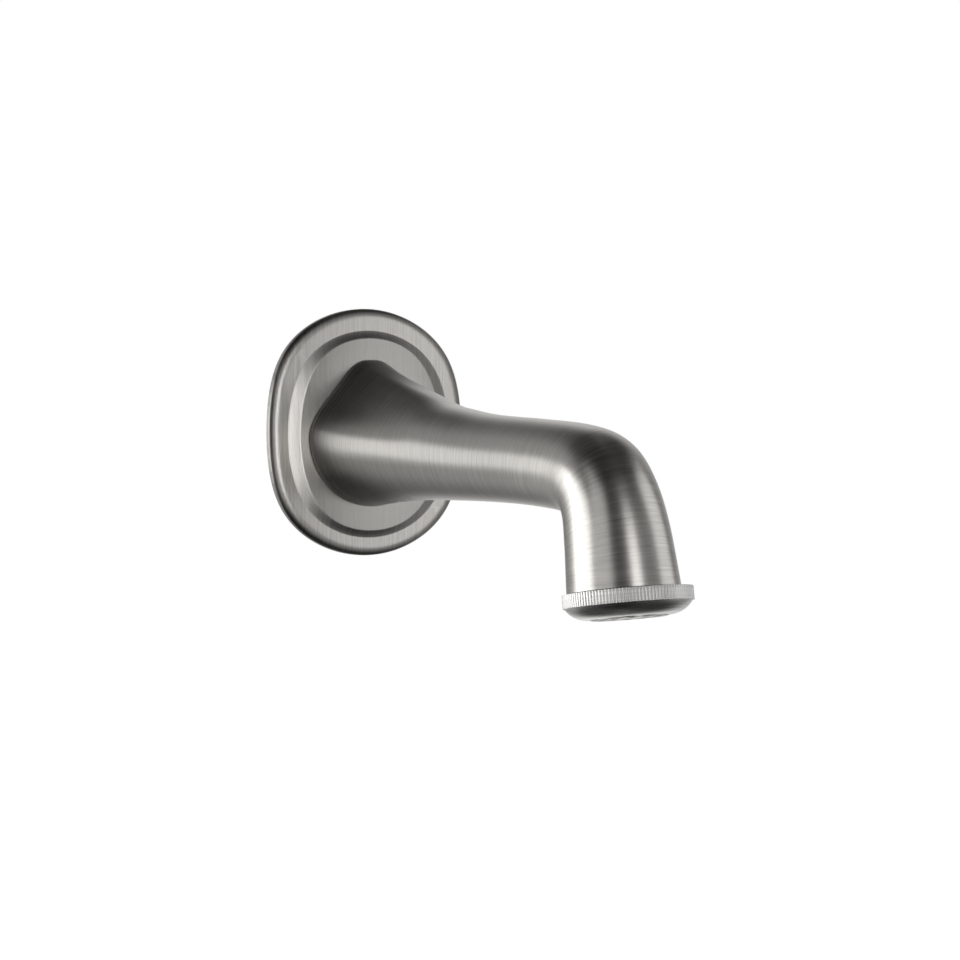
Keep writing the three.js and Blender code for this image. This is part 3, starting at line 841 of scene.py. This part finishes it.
NICKEL_SPOUT = brushed_nickel(
    "nickel_round_brushed", (3000, 60, 1), (1100, 32, 1), (0.27, 0.36), 0.5)
# The plate's raised disc is painted darker: painted shade.
NICKEL_PLATE = brushed_nickel(
    "nickel_upright_brushed", (2800, 60, 1), (900, 20, 1), (0.26, 0.35), 0.15, disc_painted_shade=0.55)
# The ring uses the lightened nickel tone: painted brightness.
NICKEL_RING = brushed_nickel(
    "nickel_turned", (5000, 30, 1), (1200, 10, 1), (0.46, 0.58), 0.2, LIGHTENED_TURNED_NICKEL, dish_finish=0.5)
NICKEL_FACE = brushed_nickel(
    "nickel_turned_face", (5000, 30, 1), (1200, 10, 1), (0.24, 0.34), 0.3)
BRASS = plain_metal("machined_brass", (0.72, 0.55, 0.28), 0.34)
STEEL = plain_metal("stainless_steel", (0.62, 0.63, 0.64), 0.3)
RUBBER = soft_plain("nitrile_rubber", (0.022, 0.022, 0.024), 0.7, 1500, 0.00005)
FOAM = soft_plain("gasket_foam", (0.035, 0.035, 0.038), 0.9, 900, 0.0003)
FIBRE = soft_plain("pressed_fibre", (0.3, 0.06, 0.04), 0.85, 1800, 0.0001)
ACETAL = soft_plain("white_acetal", (0.78, 0.77, 0.73), 0.42, 700, 0.00003)
SLOT_MATERIALS = {
    "brass": BRASS, "steel": STEEL, "rubber": RUBBER, "foam": FOAM, "fibre": FIBRE, "acetal": ACETAL,
}

# ---- pieces ------------------------------------------------------------------------------------


def dress_cad_nodes():
    """Gives each carried-over CAD node its slot's material."""
    for entry in frame["record"]["subparts"]:
        node = frame["nodes"][entry["node"]]
        material = SLOT_MATERIALS.get(entry["material_slot"], NICKEL_FACE)
        node.data.materials.clear()
        node.data.materials.append(material)
        for polygon in node.data.polygons:
            polygon.material_index = 0


def make_pieces():
    """The pieces that are finer than their CAD nodes."""
    new_piece("escutcheon_plate", escutcheon_mesh(), NICKEL_PLATE, "body", "brushed_nickel", "escutcheon")
    new_piece("spout_shell", spout_mesh(), NICKEL_SPOUT, "body", "brushed_nickel", "spout_body")
    new_piece("knurled_ring", ring_piece_mesh(), NICKEL_RING, "ring", "brushed_nickel", "diverter_ring")
    new_piece("grille_plate", grille_mesh(), NICKEL_FACE, "diverter", "brushed_nickel", "outlet_grille")
    new_piece("sleeve_tube", sleeve_mesh(), NICKEL_FACE, "diverter", "brushed_nickel", "guide_sleeve")
    # The spring rides on no body and its mesh is baked in place.
    spring = new_piece("wire_spring", spring_mesh(), STEEL, None, "steel", "return_spring")
    foot, top = (outlet_point(0, 0, z) for z in spring_ends())
    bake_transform(spring)


# ---- surroundings ------------------------------------------------------------------------------

CAMERA_PLACE = Vector((-0.44117, -0.78545, -0.00032))
CAMERA_YAW = math.radians(32.306)
CAMERA_PITCH = math.radians(-1.219)
CAMERA_LENS = 82.80


def make_camera():
    data = bpy.data.cameras.new("camera")
    data.lens = CAMERA_LENS
    data.sensor_width = 36
    data.dof.use_dof = False
    data.clip_start = 0.02
    camera = bpy.data.objects.new("camera", data)
    bpy.context.scene.collection.objects.link(camera)
    level = math.cos(CAMERA_PITCH)
    forward = Vector((math.sin(CAMERA_YAW) * level, math.cos(CAMERA_YAW) * level, math.sin(CAMERA_PITCH)))
    camera.location = CAMERA_PLACE
    camera.rotation_mode = "QUATERNION"
    camera.rotation_quaternion = forward.to_track_quat("-Z", "Y")
    bpy.context.scene.camera = camera


def around(bearing):
    """A level direction from the object: 0 towards the camera, plus to the camera's right."""
    towards = Vector((math.sin(CAMERA_YAW), math.cos(CAMERA_YAW), 0)) * -1
    right = Vector((math.cos(CAMERA_YAW), -math.sin(CAMERA_YAW), 0))
    return towards * math.cos(math.radians(bearing)) + right * math.sin(math.radians(bearing))


def panel(name, centre, turn, width, height, glow):
    """A glowing rectangle facing the object: `turn` is the bearing it stands at, in degrees."""
    data = bpy.data.lights.new(name, "AREA")
    data.shape = "RECTANGLE"
    data.size, data.size_y = width, height
    data.energy = glow * math.pi * width * height
    light = bpy.data.objects.new(name, data)
    bpy.context.scene.collection.objects.link(light)
    light.location = centre
    light.rotation_mode = "QUATERNION"
    light.rotation_quaternion = (-around(turn)).to_track_quat("-Z", "Y")
    light.visible_camera = False


LEFT = -57.7  # the bearing of the object's own left
FRONT = 32.3  # the bearing of the way the spout points

# Soft boxes along the spout's left flank, before its downturn and at its right: name, centre in
# metres, bearing, width, height, glow.
SOFT_BOXES = [
    ("panel_left_core", (-0.30, 0.23, 0.006), LEFT, 0.43, 0.2, 0.62),
    ("panel_left_glow", (-0.30, 0.238, -0.01), LEFT, 0.415, 0.27, 0.2),
    ("panel_left_front", (-0.16, -0.232, -0.02), LEFT, 0.11, 0.3, 0.56),
    ("panel_left_near", (-0.079, -0.146, -0.045), LEFT - 32, 0.064, 0.11, 1.65),
    ("panel_front_core", (-0.057, -0.60, 0.0), FRONT - 7, 0.15, 0.3, 1.5),
    ("panel_front_glow", (-0.055, -0.60, 0.0), FRONT - 7, 0.16, 0.62, 0.6),
    ("panel_right", (0.165, -0.25, 0.0), FRONT + 52, 0.13, 0.3, 0.72),
]


def make_lights():
    for box in SOFT_BOXES:
        panel(*box)


# What the object reflects at eye level, by bearing from the camera's side: dark behind the camera,
# soft grey to the left and right, and the pale backdrop behind.
STUDIO = [
    (-180, 0.9), (-168, 0.45), (-157, 0.26), (-145, 0.33), (-125, 0.4), (-98, 0.34),
    (-72, 0.1), (-50, 0.07), (-14, 0.06), (12, 0.07), (50, 0.22), (85, 0.22), (128, 0.15), (150, 0.42),
    (180, 0.9),
]
# How far up or down the studio stays bright and where it is darkest, and how bright it is there.
STUDIO_BRIGHT, STUDIO_DARKEST, STUDIO_DIM = 0.5, 0.78, 0.13


def bearing_share(world, direction):
    """A direction's bearing, as a share from 0 at -180 degrees to 1 at 180."""
    turn = world.node("ShaderNodeMath", operation="ARCTAN2")
    for bearing, socket in zip((90, 0), turn.inputs):
        dot = world.node("ShaderNodeVectorMath", operation="DOT_PRODUCT")
        dot.inputs[1].default_value = around(bearing)
        world.link(direction, dot.inputs[0])
        world.link(dot.outputs["Value"], socket)
    return world.ranged(turn.outputs["Value"], -math.pi, math.pi, 0, 1)


def studio_glow(world, direction):
    """The studio's brightness round the object."""
    ramp = world.node("ShaderNodeValToRGB")
    stops = ramp.color_ramp.elements
    while len(stops) < len(STUDIO):
        stops.new(0.5)
    for stop, (bearing, glow) in zip(stops, STUDIO):
        stop.position = (bearing + 180) / 360
        stop.color = (glow, glow, glow, 1)
    world.link(bearing_share(world, direction), ramp.inputs["Fac"])
    return ramp.outputs["Color"]


def studio_level(world, direction):
    """How much of that brightness is left towards the ceiling and the floor."""
    height = world.node("ShaderNodeMath", operation="ABSOLUTE")
    world.link(world.axis(direction, "Z"), height.inputs[0])
    return world.ranged(height.outputs["Value"], STUDIO_BRIGHT, STUDIO_DARKEST, 1.0, STUDIO_DIM,
                        interpolation_type="SMOOTHSTEP")


def make_world():
    """White to the camera; a soft studio, darker above and below, to everything else."""
    bpy.context.scene.world = bpy.data.worlds.new("studio")
    world = Tree(bpy.context.scene.world)
    direction = world.node("ShaderNodeTexCoord").outputs["Generated"]
    studio = world.node("ShaderNodeBackground")
    world.link(studio_glow(world, direction), studio.inputs["Color"])
    world.link(studio_level(world, direction), studio.inputs["Strength"])
    white = world.node("ShaderNodeBackground")
    white.inputs["Color"].default_value = (1, 1, 1, 1)
    mix = world.node("ShaderNodeMixShader")
    world.link(world.node("ShaderNodeLightPath").outputs["Is Camera Ray"], mix.inputs["Fac"])
    world.link(studio.outputs["Background"], mix.inputs[1])
    world.link(white.outputs["Background"], mix.inputs[2])
    world.link(mix.outputs["Shader"], world.node("ShaderNodeOutputWorld").inputs["Surface"])


FLOOR_REACH = 6.0
FLOOR_LEVEL = -0.42


def make_floor():
    mesh = bpy.data.meshes.new("floor")
    corners = [(-1, -1), (1, -1), (1, 1), (-1, 1)]
    points = [(x * FLOOR_REACH, y * FLOOR_REACH, FLOOR_LEVEL) for x, y in corners]
    mesh.from_pydata(points, [], [(0, 1, 2, 3)])
    floor = bpy.data.objects.new("floor", mesh)
    bpy.context.scene.collection.objects.link(floor)
    n = Nodes("floor_paint")
    n.shader.inputs["Base Color"].default_value = (0.9, 0.9, 0.9, 1)
    n.shader.inputs["Roughness"].default_value = 0.9
    n.shader.inputs["Emission Color"].default_value = (1, 1, 1, 1)
    n.shader.inputs["Emission Strength"].default_value = 0.9
    mesh.materials.append(n.material)
    floor.visible_glossy = False
    floor.visible_diffuse = False


dress_cad_nodes()
make_pieces()
make_floor()
make_world()
make_lights()
make_camera()
bpy.context.scene.view_settings.view_transform = "Standard"
